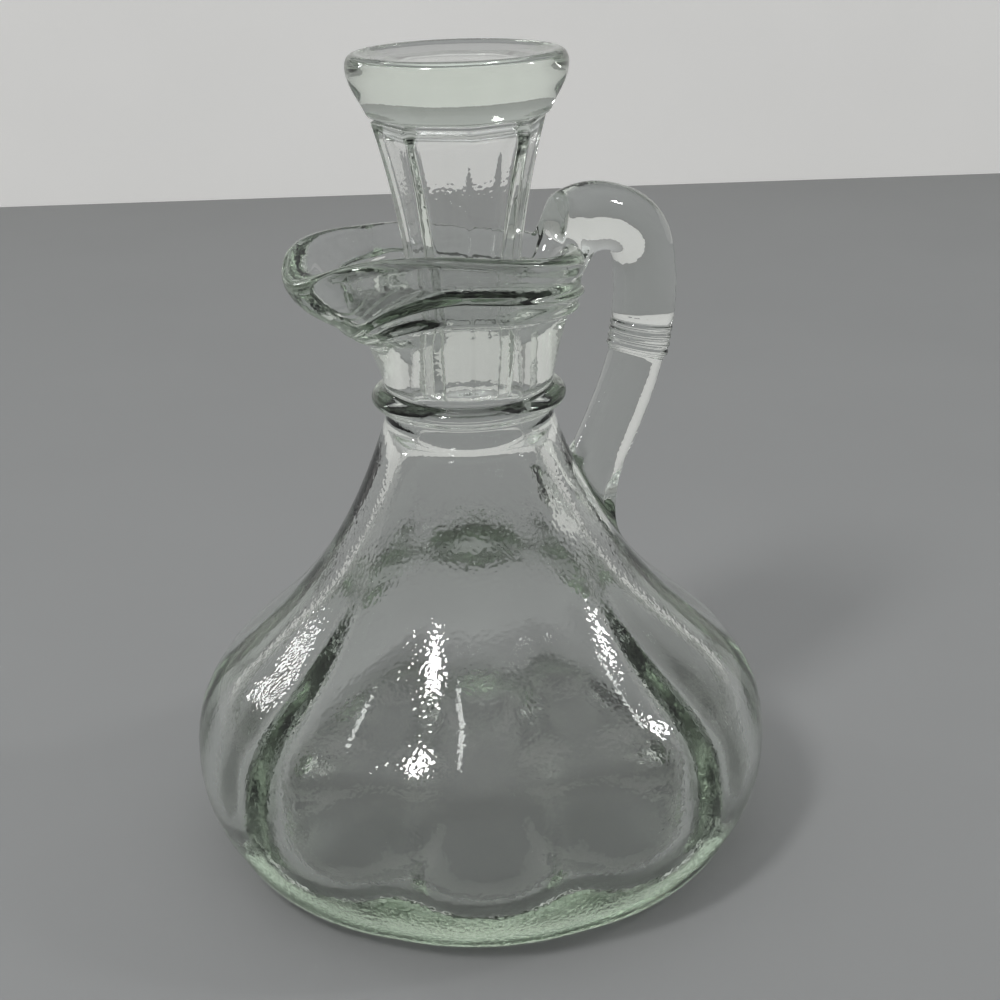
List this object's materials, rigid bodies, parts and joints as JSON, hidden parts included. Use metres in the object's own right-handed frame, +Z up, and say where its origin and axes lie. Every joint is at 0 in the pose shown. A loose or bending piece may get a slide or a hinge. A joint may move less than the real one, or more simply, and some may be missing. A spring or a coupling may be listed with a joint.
{
  "type": "glass cruet",
  "caption": "Clear pressed-glass table cruet: lobed bulbous body, collared neck flaring to a pouring lip, looped rod handle with a ring band, and a loose hollow panelled glass stopper.",
  "frame": {"origin": "centre of the flat underside that the bottle stands on, on the axis of the body and neck", "axes": "+Z up along the axis of the body and neck; +X towards the handle, -X towards the pouring lip; the plane y = 0 halves the object"},
  "size_m": [0.103, 0.1032, 0.14],
  "materials": {
    "bottle_glass": "clear pressed soda glass, faintly green where thick, with a slightly rippled fire-polished surface",
    "stopper_glass": "clear pressed soda glass, faintly green where thick, with soft panel edges"
  },
  "bodies": {
    "root": {"bottle": "bottle_glass", "stopper": "stopper_glass"}
  },
  "joints": []
}
